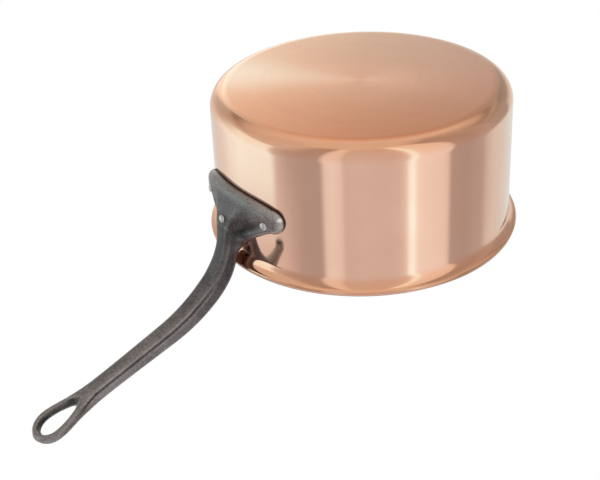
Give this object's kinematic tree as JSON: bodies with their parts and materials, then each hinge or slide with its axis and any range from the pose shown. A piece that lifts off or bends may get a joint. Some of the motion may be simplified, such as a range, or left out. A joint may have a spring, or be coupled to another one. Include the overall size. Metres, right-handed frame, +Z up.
{
  "type": "saucepan",
  "caption": "Round copper saucepan with a turned pouring lip, a steel lining and a long cast-iron handle, riveted on by a curved flange and ending in a teardrop hanging loop.",
  "frame": {"origin": "centre of the base's underside, on the pan's axis", "axes": "+Z up along the pan's axis towards the rim, +X from the pan's axis along the handle, +Y across the handle"},
  "size_m": [0.3678, 0.2142, 0.172],
  "materials": {
    "copper": "polished copper wall with a satin, concentrically brushed base",
    "lining": "satin, concentrically brushed",
    "cast_iron": "satin dark grey with a fine cast grain and lighter worn edges",
    "rivet": "peened satin metal"
  },
  "bodies": {
    "root": {"copper_body": "copper", "steel_lining": "lining", "cast_handle": "cast_iron", "left_rivet": "rivet", "right_rivet": "rivet", "centre_rivet": "rivet"}
  },
  "joints": []
}
